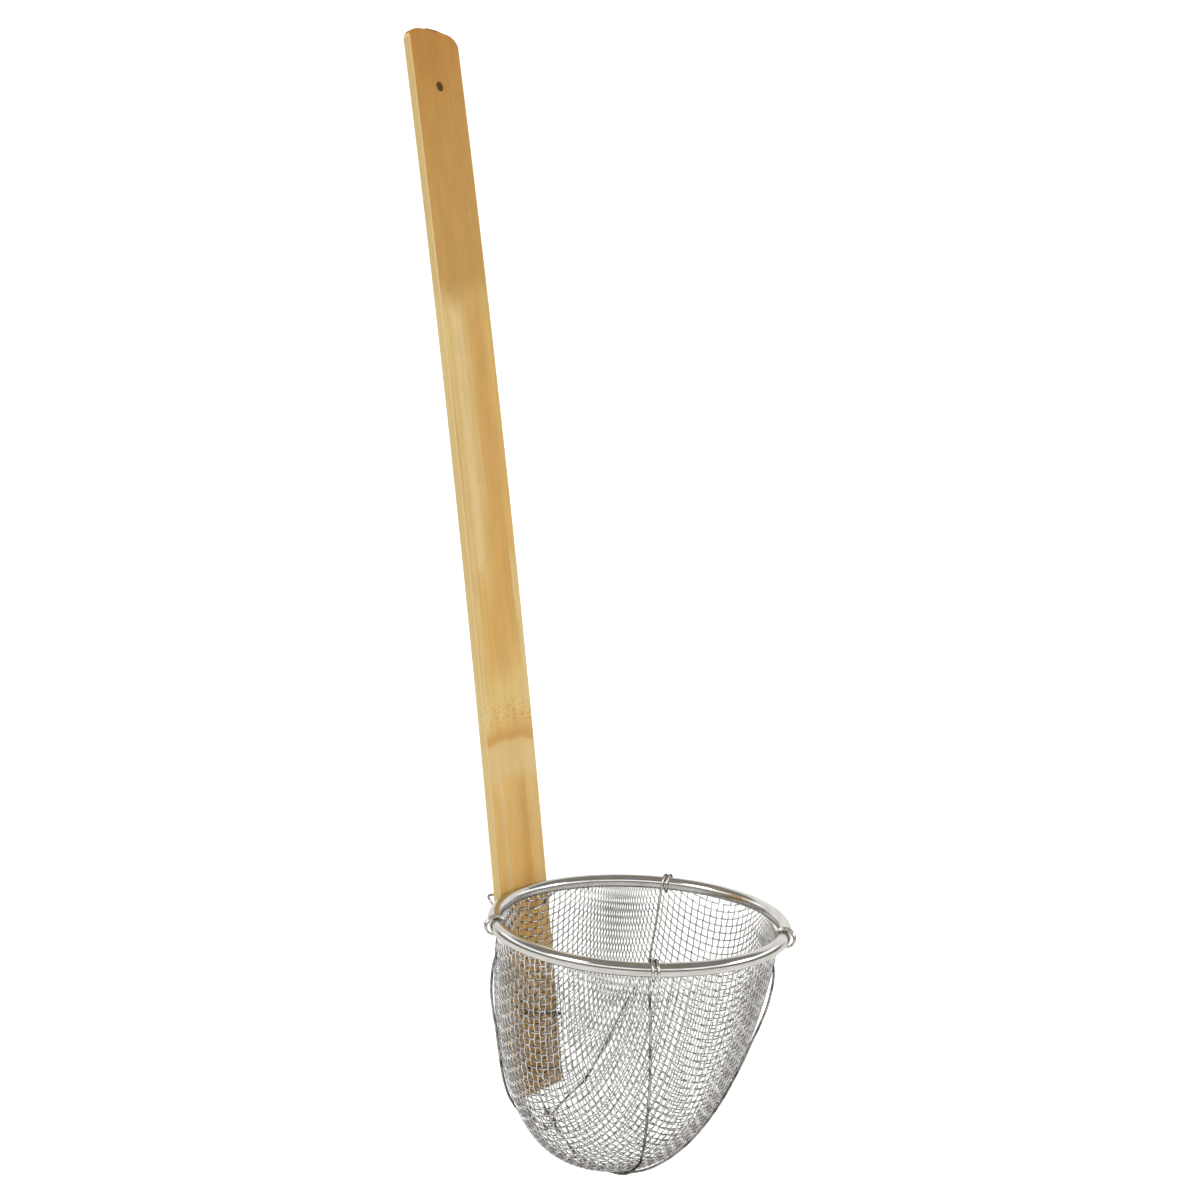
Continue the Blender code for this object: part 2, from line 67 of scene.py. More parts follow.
# Bag: its outer face as in the CAD, and the cloth's middle surface half a thickness inside.
BAG_RADIUS = 69.7 * MM
BAG_DEPTH = 126.8 * MM
BAG_DRIFT = 14.4 * MM
DRIFT_POWER = 0.91
DEPTH_POWER = 1.79
RADIUS_POWER = 2.87
FLAT_BLEND = 1.2 * MM
FLAT_GAP = 0.4 * MM
CLOTH_THICKNESS = 1.2 * MM
CLOTH_RADIUS = BAG_RADIUS - CLOTH_THICKNESS / 2
CLOTH_DEPTH = BAG_DEPTH - CLOTH_THICKNESS / 2
COLLAR_START = 10 * MM
COLLAR_HEIGHT = 7.1 * MM
COLLAR_FLARE = 1.05 * MM
CLOTH_TOP = -1.0 * MM

# Weave.
MESH_PITCH = 3.8 * MM
MESH_WIRE_RADIUS = 0.325 * MM
MESH_CRIMP = 0.33 * MM
MESH_TWIST = math.radians(-5)
MESH_REACH = 52
STEPS_PER_CELL = 4
MESH_WIRE_SIDES = 6

# Slat.
SLAT_WIDTH = 37.4 * MM
SLAT_FOOT_THICKNESS = 4.8 * MM
SLAT_HEAD_THICKNESS = 4.4 * MM
SLAT_BELOW_RIM = 106 * MM
SLAT_ABOVE_RIM = 448.9 * MM
SLAT_LEAN_AT_RIM = math.radians(9.45)
SLAT_BOW = math.radians(6.3)
SLAT_OFF_RIM = 0.5 * MM
SLAT_EDGE = 0.7 * MM
SLAT_FOOT_CORNER = (3.5 * MM, 3.5 * MM)
SLAT_HEAD_CORNER = (9.5 * MM, 6.5 * MM)
SLAT_HEAD_CROWN = 1.2 * MM
HANG_HOLE_BELOW_HEAD = 30 * MM
HANG_HOLE_RADIUS = 2.4 * MM
HANG_HOLE_CHAMFER = 0.3 * MM
NODE_ALONG = 80 * MM

# Wires.
WIRE_RADIUS = 0.62 * MM
RIB_STAND_OFF = WIRE_RADIUS + 0.4 * MM
HOOK_RADIUS = TUBE_RADIUS + WIRE_RADIUS + 0.38 * MM
HOOK_SLACK = 0.9 * MM
HOOK_PITCH = 2.4 * MM
HOOK_STEPS = 84
TIE_RADIUS = 0.6 * MM
STAPLE_RADIUS = 0.55 * MM
FRONT_RIB_AZIMUTH = math.radians(131)
RIGHT_RIB_AZIMUTH = math.radians(-152.7)
LEFT_RIB_AZIMUTH = math.radians(48.9)
BACK_RIB_AZIMUTH = math.radians(-63)
# Down to this depth below the rim the wires carry a painted highlight, fading out over the next few
# millimetres.
PAINTED_HIGHLIGHT_DEPTH = 10 * MM
PAINTED_HIGHLIGHT_FADE = 3 * MM
WRAP_TURNS = 1.6
WRAP_PITCH = 1.65 * MM
WRAP_RADIUS = 2 * WIRE_RADIUS + 0.36 * MM
RIB_STEP = 1.5 * MM

# Camera, as it stands from the centre of the rim.
CAMERA_DISTANCE = 0.859
CAMERA_HEIGHT = 0.268
CAMERA_BEARING = math.radians(53.5)
CAMERA_YAW = math.radians(-1.76)
CAMERA_PITCH = math.radians(-7.22)
CAMERA_ROLL = math.radians(2.47)
CAMERA_LENS = 53.76

low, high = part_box("rim_ring")
RIM_CENTRE = (Vector(low) + Vector(high)) / 2


# ---------------------------------------------------------------- meshes


def mesh_piece(name, points, faces, finish, node):
    """A smooth-shaded piece at the rim's centre that rides on the root and stands for a node."""
    mesh = bpy.data.meshes.new(name)
    mesh.from_pydata(points, [], faces)
    mesh.shade_smooth()
    mesh.materials.append(finish)
    piece = bpy.data.objects.new(name, mesh)
    piece.location = RIM_CENTRE
    bpy.context.scene.collection.objects.link(piece)
    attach(piece, "root")
    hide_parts(node)
    return piece


def store(piece, name, values):
    """Keep a vector for each vertex, for the material to read."""
    kept = piece.data.attributes.new(name, "FLOAT_VECTOR", "POINT")
    kept.data.foreach_set("vector", np.asarray(values, dtype=np.float32).ravel())


def vertices(piece):
    flat = np.empty(len(piece.data.vertices) * 3, dtype=np.float32)
    piece.data.vertices.foreach_get("co", flat)
    return flat.reshape(-1, 3).astype(float)


def unit(vectors):
    return vectors / np.linalg.norm(vectors, axis=-1, keepdims=True)


def carried_normals(tangents):
    """A normal for each tangent of a path, carried along it without twist."""
    first = np.cross(tangents[0], (0.0, 0.0, 1.0))
    if np.linalg.norm(first) < 0.1:
        first = np.cross(tangents[0], (1.0, 0.0, 0.0))
    normals = [unit(first)]
    for tangent in tangents[1:]:
        last = normals[-1]
        normals.append(unit(last - tangent * np.dot(last, tangent)))
    return np.array(normals)


def tube(path, radius, sides, normals=None):
    """Vertices and faces of one round wire with chamfered ends."""
    path = np.asarray(path, dtype=float)
    tangents = unit(np.gradient(path, axis=0))
    if normals is None:
        normals = carried_normals(tangents)
    normals = unit(normals - tangents * (normals * tangents).sum(1)[:, None])
    across = np.cross(tangents, normals)
    chamfer = 0.35 * radius
    path = np.vstack([path[0] - chamfer * tangents[0], path, path[-1] + chamfer * tangents[-1]])
    normals = np.vstack([normals[:1], normals, normals[-1:]])
    across = np.vstack([across[:1], across, across[-1:]])
    widths = np.full(len(path), radius)
    widths[[0, -1]] = 0.65 * radius
    turns = 2 * math.pi * np.arange(sides) / sides
    ring = np.cos(turns)[:, None, None] * normals + np.sin(turns)[:, None, None] * across
    points = path + widths[:, None] * ring
    points = points.transpose(1, 0, 2).reshape(-1, 3)
    start = np.arange(len(path) - 1)[:, None] * sides
    side, after = np.arange(sides), (np.arange(sides) + 1) % sides
    faces = np.stack([start + side, start + after, start + sides + after, start + sides + side], -1)
    caps = [list(range(sides))[::-1], list(range(len(points) - sides, len(points)))]
    return points, faces.reshape(-1, 4).tolist() + caps


def wires(name, paths, radius, sides, finish, node, normals=None):
    """Several round wires as one piece."""
    points, faces, count = [], [], 0
    for i, path in enumerate(paths):
        made, joined = tube(path, radius, sides, normals[i] if normals else None)
        points.append(made)
        faces += [[count + corner for corner in face] for face in joined]
        count += len(made)
    return mesh_piece(name, np.vstack(points), faces, finish, node)


def smooth_path(knots, step):
    """Points about one step apart on a Catmull-Rom curve through the knots."""
    ends = [2 * knots[0] - knots[1], *knots, 2 * knots[-1] - knots[-2]]
    points = []
    for before, start, end, after in zip(ends, ends[1:], ends[2:], ends[3:]):
        count = max(1, round((end - start).length / step))
        for i in range(count):
            t = i / count
            points.append(
                0.5
                * (
                    2 * start
                    + t * (end - before)
                    + t * t * (2 * before - 5 * start + 4 * end - after)
                    + t * t * t * (3 * start - before - 3 * end + after)
                )
            )
    points.append(knots[-1])
    return points


# ---------------------------------------------------------------- shader nodes


class Shader:
    """Short ways to add and join the nodes of one material."""

    def __init__(self, name):
        self.material = bpy.data.materials.new(name)
        self.material.use_nodes = True
        self.tree = self.material.node_tree
        self.surface = self.tree.nodes["Principled BSDF"]

    def feed(self, socket, value):
        if isinstance(value, bpy.types.NodeSocket):
            self.tree.links.new(value, socket)
        else:
            socket.default_value = value

    def set(self, **values):
        """Set or join sockets of the surface, such as base_color or roughness."""
        for name, value in values.items():
            label = name.replace("_", " ").title().replace("Ior", "IOR")
            self.feed(self.surface.inputs[label], value)

    def place(self, attribute):
        node = self.tree.nodes.new("ShaderNodeAttribute")
        node.attribute_name = attribute
        return node.outputs["Vector"]

    def object_place(self):
        return self.tree.nodes.new("ShaderNodeTexCoord").outputs["Object"]

    def stretch(self, vector, scale):
        node = self.tree.nodes.new("ShaderNodeMapping")
        self.feed(node.inputs["Vector"], vector)
        node.inputs["Scale"].default_value = scale
        return node.outputs["Vector"]

    def parts(self, vector):
        node = self.tree.nodes.new("ShaderNodeSeparateXYZ")
        self.feed(node.inputs[0], vector)
        return node.outputs

    def noise(self, vector, scale=1.0, detail=3.0, roughness=0.5):
        node = self.tree.nodes.new("ShaderNodeTexNoise")
        self.feed(node.inputs["Vector"], vector)
        node.inputs["Scale"].default_value = scale
        node.inputs["Detail"].default_value = detail
        node.inputs["Roughness"].default_value = roughness
        return node.outputs["Fac"]

    def maths(self, operation, first, second=0.0, third=0.0):
        node = self.tree.nodes.new("ShaderNodeMath")
        node.operation = operation
        for socket, value in zip(node.inputs, (first, second, third)):
            self.feed(socket, value)
        return node.outputs[0]

    def between(self, value, low, high, to_low=0.0, to_high=1.0):
        """A smooth step from to_low to to_high as the value goes from low to high."""
        node = self.tree.nodes.new("ShaderNodeMapRange")
        node.interpolation_type = "SMOOTHSTEP"
        for name, number in (
            ("Value", value),
            ("From Min", low),
            ("From Max", high),
            ("To Min", to_low),
            ("To Max", to_high),
        ):
            self.feed(node.inputs[name], number)
        return node.outputs["Result"]

    def band(self, value, middle, half, soft):
        """One within half of the middle, falling to nought over soft."""
        away = self.maths("ABSOLUTE", self.maths("SUBTRACT", value, middle))
        return self.between(away, half, half + soft, 1.0, 0.0)

    def mix(self, share, first, second):
        node = self.tree.nodes.new("ShaderNodeMix")
        node.data_type = "RGBA"
        self.feed(node.inputs["Factor"], share)
        self.feed(node.inputs["A"], first)
        self.feed(node.inputs["B"], second)
        return node.outputs["Result"]

    def ramp(self, value, stops):
        """A colour by the value: stops are (place, colour)."""
        node = self.tree.nodes.new("ShaderNodeValToRGB")
        self.feed(node.inputs["Fac"], value)
        band = node.color_ramp
        while len(band.elements) < len(stops):
            band.elements.new(0.5)
        for element, (spot, colour) in zip(band.elements, stops):
            element.position = spot
            element.color = colour
        return node.outputs["Color"]

    def shade(self, tone, brightness):
        """The tone made darker or brighter without a change of hue."""
        node = self.tree.nodes.new("ShaderNodeHueSaturation")
        self.feed(node.inputs["Color"], tone)
        self.feed(node.inputs["Value"], brightness)
        return node.outputs["Color"]

    def grazing(self):
        """Nought where the surface faces the eye, one at its outline."""
        return self.tree.nodes.new("ShaderNodeLayerWeight").outputs["Facing"]

    def bump(self, height, distance, strength=1.0):
        node = self.tree.nodes.new("ShaderNodeBump")
        self.feed(node.inputs["Height"], height)
        node.inputs["Distance"].default_value = distance
        node.inputs["Strength"].default_value = strength
        return node.outputs["Normal"]


def colour(red, green, blue):
    """A linear colour from the 10 to 255 values that a screen shows."""
    return tuple(((c / 255 + 0.055) / 1.055) ** 2.4 for c in (red, green, blue)) + (1.0,)


# ---------------------------------------------------------------- materials


def polished_steel():
    """Rolled bright strip: faint lines along the tube, a few dull patches, painted shade at its
    outline and in its slot.
    """
    made = Shader("rim_steel")
    place = made.place("rim_place")
    lines = made.noise(made.stretch(place, (60, 2600, 1)), 1.0, 4.0, 0.6)
    patches = made.noise(made.stretch(place, (70, 260, 1)), 1.0, 3.0, 0.55)
    tone = made.mix(made.between(patches, 0.35, 0.75), colour(196, 195, 191), colour(180, 176, 168))
    # Painted shade: the base colour turns dark brown towards the tube's outline, where it is seen
    # edge-on.
    tone = made.mix(made.between(made.grazing(), 0.6, 0.95, 0.0, 0.75), tone, colour(112, 86, 64))
    # Painted shade: the tube's inner wall and the lips of its slot are painted near black, for the
    # shade inside the slot.
    within = made.between(made.parts(place)[2], 0.1 * MM, 0.35 * MM)
    tone = made.mix(within, tone, colour(34, 31, 28))
    dull = made.between(patches, 0.3, 0.8, 0.13, 0.26)
    made.set(base_color=tone, metallic=1.0, roughness=dull)
    made.set(normal=made.bump(lines, 0.00002, 0.35))
    return made.material


def drawn_steel(name, light, dark, outline, shine, dull):
    """Drawn wire, patchy along its length, with a painted highlight near the rim and painted shade
    at its sides, where it is seen edge-on.
    """
    made = Shader(name)
    place = made.object_place()
    patches = made.noise(place, 160, 3.0, 0.6)
    specks = made.noise(place, 2400, 2.0, 0.6)
    tone = made.mix(made.between(patches, 0.3, 0.7, 0.3, 1.0), light, dark)
    tone = made.mix(made.between(specks, 0.55, 0.8, 0.0, 0.35), tone, dark)
    # Painted highlight: wire and cloth take the light tone within about a centimetre of the rim,
    # for the shine of the hooks.
    height = made.parts(place)[2]
    near_rim_painted_highlight = made.between(height, -PAINTED_HIGHLIGHT_DEPTH - PAINTED_HIGHLIGHT_FADE, -PAINTED_HIGHLIGHT_DEPTH)
    tone = made.mix(near_rim_painted_highlight, tone, light)
    # Painted shade: the base colour turns to the outline colour towards the wire's edges, where it
    # is seen edge-on.
    tone = made.mix(made.between(made.grazing(), 0.28, 0.75, 0.0, 0.92), tone, outline)
    made.set(base_color=tone, metallic=1.0, specular_tint=(0.35, 0.35, 0.35, 1.0))
    made.set(roughness=made.between(specks, 0.3, 0.8, shine, dull))
    made.set(normal=made.bump(specks, 0.00003, 0.3))
    return made.material


PALE = colour(229, 203, 146)
ORANGE = colour(208, 157, 84)
BROWN = colour(150, 98, 44)

# The slat's tone along it, in millimetres up from rim level.
SLAT_TONES = [
    (-106, colour(208, 163, 90)),
    (10, colour(226, 180, 102)),
    (58, colour(225, 184, 112)),
    (84, colour(221, 178, 104)),
    (100, colour(226, 194, 122)),
    (135, colour(219, 180, 104)),
    (215, colour(213, 172, 98)),
    (290, colour(209, 172, 96)),
    (306, colour(207, 170, 94)),
    (316, colour(195, 151, 78)),
    (400, colour(193, 144, 67)),
    (449, colour(187, 131, 52)),
]

# Streaks: middle, half width and soft edge across, start and end along, in mm; strength; tone.
SLAT_STREAKS = [
    (-8.5, 1.5, 5, 180, 302, 0.7, PALE),
    (-1.5, 0.5, 3, 200, 290, 0.3, PALE),
    (-16.0, 0.5, 3, 100, 300, 0.5, PALE),
    (6.5, 3.5, 6, 160, 296, 0.6, ORANGE),
    (15.5, 0.8, 3, 96, 156, 0.7, PALE),
    (5.0, 1.0, 5, -30, 44, 0.65, ORANGE),
    (-10.0, 0.5, 3, -40, 60, 0.5, PALE),
    (14.5, 0.5, 3, -40, 60, 0.4, PALE),
    (1.0, 6.0, 10, 124, 142, 0.5, ORANGE),
]
STREAK_FADE = 24 * MM


def streaked_tone(made, place, streak):
    """The tones along the slat with its streaks, all drifting a little."""
    across, along, _ = made.parts(place)
    drift = made.noise(made.stretch(place, (70, 22, 70)), 1.0, 2.0, 0.5)
    rise = made.maths("ADD", made.maths("MULTIPLY_ADD", drift, 0.030, -0.015), along)
    rise = made.maths("ADD", rise, made.maths("MULTIPLY", across, -0.35))
    total = SLAT_BELOW_RIM + SLAT_ABOVE_RIM
    share = made.maths("DIVIDE", made.maths("ADD", rise, SLAT_BELOW_RIM), total)
    tone = made.ramp(share, [((at * MM + SLAT_BELOW_RIM) / total, t) for at, t in SLAT_TONES])
    sideways = made.maths("ADD", across, made.maths("MULTIPLY_ADD", streak, 0.012, -0.006))
    for middle, half, soft, low, high, strength, shade in SLAT_STREAKS:
        lane = made.band(sideways, middle * MM, half * MM, soft * MM)
        reach = made.band(rise, (low + high) / 2 * MM, (high - low) / 2 * MM, STREAK_FADE)
        lane = made.maths("MULTIPLY", made.maths("MULTIPLY", lane, reach), strength)
        tone = made.mix(lane, tone, shade)
    return tone


def grain_light(made, place, streak, fibre):
    """How bright the wood is for its fibres, its mottling and its streaks."""
    mottle = made.noise(made.stretch(place, (110, 45, 110)), 1.0, 3.0, 0.6)
    light = made.between(fibre, 0.25, 0.75, 0.93, 1.06)
    light = made.maths("MULTIPLY", light, made.between(mottle, 0.25, 0.75, 0.95, 1.05))
    return made.maths("MULTIPLY", light, made.between(streak, 0.25, 0.75, 0.94, 1.05))


def node_marks(made, place, tone):
    """The bamboo's node: a bowed brown ring, cream below it and flecks above it."""
    across, along, _ = made.parts(place)
    bow = made.maths("MULTIPLY", made.maths("MULTIPLY", across, across), 6.0)
    bent = made.maths("ADD", along, bow)
    wobble = made.noise(made.stretch(place, (160, 80, 160)), 1.0, 2.0, 0.5)
    bent = made.maths("ADD", bent, made.maths("MULTIPLY_ADD", wobble, 0.005, -0.0025))
    crisp = made.between(bent, NODE_ALONG - 2.2 * MM, NODE_ALONG - 0.6 * MM)
    fading = made.between(bent, NODE_ALONG, NODE_ALONG + 8 * MM, 1.0, 0.0)
    ring = made.maths("MULTIPLY", crisp, fading)
    tone = made.mix(made.maths("MULTIPLY", ring, 0.6), tone, colour(200, 144, 72))
    cream = made.band(bent, NODE_ALONG - 11 * MM, 5 * MM, 8 * MM)
    tone = made.mix(made.maths("MULTIPLY", cream, 0.5), tone, colour(226, 203, 148))
    flecks = made.noise(made.stretch(place, (330, 700, 330)), 1.0, 2.0, 0.6)
    zone = made.band(bent, NODE_ALONG + 14 * MM, 4 * MM, 5 * MM)
    spots = made.maths("MULTIPLY", made.between(flecks, 0.56, 0.68), zone)
    spots = made.maths("MULTIPLY", spots, 0.36)
    tone = made.mix(spots, tone, colour(166, 112, 56))
    glints = made.maths("MULTIPLY", made.between(flecks, 0.44, 0.34), zone)
    tone = made.mix(made.maths("MULTIPLY", glints, 0.5), tone, colour(232, 210, 156))
    return tone, spots


def edge_tones(made, place, tone):
    """Paler sides, a painted highlight along the rounded corners, brown end grain at the head and a
    dark hanging hole.
    """
    across, along, _ = made.parts(place)
    to_side = made.maths("SUBTRACT", SLAT_WIDTH / 2, made.maths("ABSOLUTE", across))
    side = made.between(to_side, 0.05 * MM, 0.3 * MM, 1.0, 0.0)
    tone = made.mix(made.maths("MULTIPLY", side, 0.7), tone, colour(190, 171, 122))
    # Painted highlight: a pale line along the rounded corners, where the edge catches the light.
    corner = made.band(to_side, 0.5 * MM, 0.2 * MM, 0.4 * MM)
    tone = made.mix(made.maths("MULTIPLY", corner, 0.8), tone, PALE)
    end_grain = made.between(along, SLAT_ABOVE_RIM - 1.6 * MM, SLAT_ABOVE_RIM - 0.6 * MM)
    tone = made.mix(made.maths("MULTIPLY", end_grain, 0.8), tone, BROWN)
    off = made.maths("SUBTRACT", along, SLAT_ABOVE_RIM - HANG_HOLE_BELOW_HEAD)
    across_squared = made.maths("MULTIPLY", across, across)
    squares = made.maths("ADD", made.maths("MULTIPLY", off, off), across_squared)
    from_hole = made.maths("SQRT", squares)
    inner, outer = HANG_HOLE_RADIUS + 0.05 * MM, HANG_HOLE_RADIUS + 0.3 * MM
    return made.mix(made.between(from_hole, inner, outer, 1.0, 0.0), tone, colour(122, 88, 44))


def bamboo():
    """Planed bamboo: browner towards the head, pale and orange streaks below, one node."""
    made = Shader("bamboo")
    place = made.place("slat_place")
    streak = made.noise(made.stretch(place, (150, 5, 150)), 1.0, 3.0, 0.55)
    fibre = made.noise(made.stretch(place, (1300, 16, 1300)), 1.0, 4.0, 0.65)
    tone = streaked_tone(made, place, streak)
    tone = made.shade(tone, grain_light(made, place, streak, fibre))
    tone, spots = node_marks(made, place, tone)
    tone = edge_tones(made, place, tone)
    rough = made.between(fibre, 0.3, 0.7, 0.42, 0.6)
    made.set(base_color=tone, roughness=rough, specular_ior_level=0.22)
    relief = made.maths("ADD", fibre, made.maths("MULTIPLY", spots, -1.2))
    made.set(normal=made.bump(relief, 0.00012, 0.3))
    return made.material


def paper():
    """Matt white studio paper with a very fine tooth, lit a little from within."""
    made = Shader("white_paper")
    tooth = made.noise(made.object_place(), 60, 4.0, 0.6)
    made.set(base_color=made.mix(tooth, (0.9, 0.9, 0.9, 1.0), (0.891, 0.891, 0.891, 1.0)))
    made.set(roughness=0.95, specular_ior_level=0.0)
    made.set(emission_color=(1.0, 1.0, 1.0, 1.0), emission_strength=0.45)
    return made.material


# ---------------------------------------------------------------- layout


def polar(azimuth, radius, height):
    """A point at an azimuth counted from the handle (+Y) towards -X."""
    return Vector((-radius * math.sin(azimuth), radius * math.cos(azimuth), height))


def slat_lean(along):
    return SLAT_LEAN_AT_RIM + SLAT_BOW * along


def slat_point(along, across, out):
    """A point of the slat: along it from rim level, across it, and out from its inner face."""
    middle, lean = slat_lean(along / 2), slat_lean(along)
    y = RIM_OUTER_RADIUS + SLAT_OFF_RIM + along * math.sin(middle)
    z = along * math.cos(middle)
    return Vector((across, y + out * math.cos(lean), z - out * math.sin(lean)))


def slat_thickness(along):
    share = (along + SLAT_BELOW_RIM) / (SLAT_ABOVE_RIM + SLAT_BELOW_RIM)
    return SLAT_FOOT_THICKNESS + share * (SLAT_HEAD_THICKNESS - SLAT_FOOT_THICKNESS)


def bag_limit(height):
    """The furthest that the cloth's outer face may reach towards the slat at these heights."""
    along = np.maximum(height / math.cos(SLAT_LEAN_AT_RIM), -SLAT_BELOW_RIM)
    return RIM_OUTER_RADIUS + SLAT_OFF_RIM + along * np.sin(slat_lean(along / 2)) - FLAT_GAP


def level(points, radius, depth, collar=0.0):
    """Below nought inside a bag of this radius and depth, above nought outside it."""
    share = np.clip(-points[..., 2] / BAG_DEPTH, 0, 1.4)
    centre = BAG_DRIFT * share**DRIFT_POWER
    lift = np.clip((points[..., 2] + COLLAR_START) / COLLAR_HEIGHT, 0, 1.3)
    out = np.hypot(points[..., 0], points[..., 1] - centre)
    fall = np.clip(-points[..., 2] / depth, 0, 1.4)
    return (out / (radius + collar * lift**2)) ** RADIUS_POWER + fall**DEPTH_POWER - 1


def slope(points, radius, depth, collar=0.0):
    reach = 0.02 * MM
    steps = reach * np.eye(3)
    sides = [
        level(points + s, radius, depth, collar) - level(points - s, radius, depth, collar)
        for s in steps
    ]
    return np.stack(sides, -1) / (2 * reach)


def beside_bag(point, stand_off):
    """The point moved square to the cloth until it stands off its outer face."""
    spot = np.array(point)
    for _ in range(12):
        fall = slope(spot, BAG_RADIUS, BAG_DEPTH)
        steep = np.linalg.norm(fall)
        spot = spot + (stand_off - level(spot, BAG_RADIUS, BAG_DEPTH) / steep) * fall / steep
    return Vector(spot)


def on_wall(degrees, depth, stand_off=RIB_STAND_OFF):
    """A rib's place on the wall of the bag, at an azimuth and a depth below the rim."""
    azimuth, share = math.radians(degrees), depth / BAG_DEPTH
    reach = max(0.0, 1 - share**DEPTH_POWER) ** (1 / RADIUS_POWER)
    drift = BAG_DRIFT * share**DRIFT_POWER
    across = drift * math.sin(azimuth)
    radius = drift * math.cos(azimuth) + math.sqrt((BAG_RADIUS * reach) ** 2 - across**2)
    return beside_bag(polar(azimuth, radius, -depth), stand_off)


def on_base(x, y, depth, stand_off=RIB_STAND_OFF):
    """A rib's place on the bottom of the bag, near a point in plan."""
    return beside_bag((x, y, -depth), stand_off)


# ---------------------------------------------------------------- rim


def rim_outline():
    """Section of the rolled tube as angles and radii round its own middle, lips rounded."""
    points = []
    outer, inner = TUBE_RADIUS, TUBE_RADIUS - TUBE_WALL
    half = math.asin(SLOT_WIDTH / 2 / outer)
    lip = SLOT_LIP / outer
    outer_steps, inner_steps = 48, 24
    rounding = (math.radians(70), math.radians(35))
    for a in rounding:
        reach = outer - SLOT_LIP * (1 - math.cos(a))
        points.append((SLOT_ANGLE - half - lip * (1 - math.sin(a)), reach))
    sweep = 2 * math.pi - 2 * (half + lip)
    for i in range(outer_steps + 1):
        points.append((SLOT_ANGLE - half - lip - sweep * i / outer_steps, outer))
    for a in reversed(rounding):
        reach = outer - SLOT_LIP * (1 - math.cos(a))
        points.append((SLOT_ANGLE + half - 2 * math.pi + lip * (1 - math.sin(a)), reach))
    half_in = math.asin(SLOT_WIDTH / 2 / inner)
    sweep = 2 * math.pi - 2 * half_in
    for i in range(inner_steps + 1):
        points.append((SLOT_ANGLE + half_in - 2 * math.pi + sweep * i / inner_steps, inner))
    return points


def rim_azimuths():
    """Even steps round the rim, with finer ones across the butt weld."""
    even = [2 * math.pi * i / 288 for i in range(288)]
    reach = 3 * SEAM_HALF_WIDTH / RIM_RADIUS
    fine = [SEAM_AZIMUTH + reach * (i / 6 - 1) for i in range(13)]
    return sorted([a for a in even if abs(a - SEAM_AZIMUTH) > 1.2 * reach] + fine)


def rim_ring(finish):
    outline, azimuths = rim_outline(), rim_azimuths()
    points, places = [], []
    for azimuth in azimuths:
        off = (azimuth - SEAM_AZIMUTH) * RIM_RADIUS / SEAM_HALF_WIDTH
        sunk = SEAM_DEPTH * math.exp(-off * off)
        for angle, radius in outline:
            reach = radius - (sunk if radius > TUBE_RADIUS - TUBE_WALL / 2 else 0)
            out = RIM_RADIUS + reach * math.cos(angle)
            points.append(polar(azimuth, out, reach * math.sin(angle)))
            places.append((azimuth * RIM_RADIUS, angle * radius, TUBE_RADIUS - radius))
    count = len(outline)
    faces = []
    for i in range(len(azimuths)):
        here, there = i * count, (i + 1) % len(azimuths) * count
        for j in range(count):
            k = (j + 1) % count
            faces.append((here + j, there + j, there + k, here + k))
    ring = mesh_piece("rolled_rim", points, faces, finish, "rim_ring")
    store(ring, "rim_place", places)
    ring.data.set_sharp_from_angle(angle=math.radians(50))
    return ring


# ---------------------------------------------------------------- woven cloth


def cloth_level(points):
    return level(points, CLOTH_RADIUS, CLOTH_DEPTH, COLLAR_FLARE)


def cloth_slope(points):
    return slope(points, CLOTH_RADIUS, CLOTH_DEPTH, COLLAR_FLARE)


def onto_cloth(points):
    for _ in range(8):
        fall = cloth_slope(points)
        points = points - (cloth_level(points) / (fall**2).sum(-1))[..., None] * fall
    return points


def straight_strand(heading):
    """Knots one pitch apart on the straightest line over the cloth, up from its lowest point."""
    knots = [np.array([0.0, BAG_DRIFT, -CLOTH_DEPTH])]
    way = np.array([-math.sin(heading), math.cos(heading), 0.0])
    for _ in range(MESH_REACH):
        ahead = onto_cloth(knots[-1] + MESH_PITCH * way)
        ahead = onto_cloth(knots[-1] + MESH_PITCH * unit(ahead - knots[-1]))
        normal = unit(cloth_slope(ahead))
        way = ahead - knots[-1]
        way = unit(way - normal * np.dot(way, normal))
        knots.append(ahead)
    return np.array(knots)


def meet(first, second, guess):
    """The knots one pitch from both neighbours, on the cloth, by Newton's method."""
    spot = onto_cloth(guess)
    scale = CLOTH_RADIUS**2 / RADIUS_POWER
    for _ in range(12):
        to_first, to_second = spot - first, spot - second
        misses = np.stack(
            [
                (to_first**2).sum(-1) - MESH_PITCH**2,
                (to_second**2).sum(-1) - MESH_PITCH**2,
                cloth_level(spot) * scale,
            ],
            -1,
        )
        rates = np.stack([2 * to_first, 2 * to_second, cloth_slope(spot) * scale], -2)
        turned = np.swapaxes(rates, -1, -2)
        normal_form = turned @ rates + 1e-12 * np.eye(3)
        move = np.linalg.solve(normal_form, turned @ misses[..., None])[..., 0]
        size = np.linalg.norm(move, axis=-1, keepdims=True)
        spot = spot - move * np.minimum(1, 0.5 * MESH_PITCH / np.maximum(size, 1e-12))
    return spot


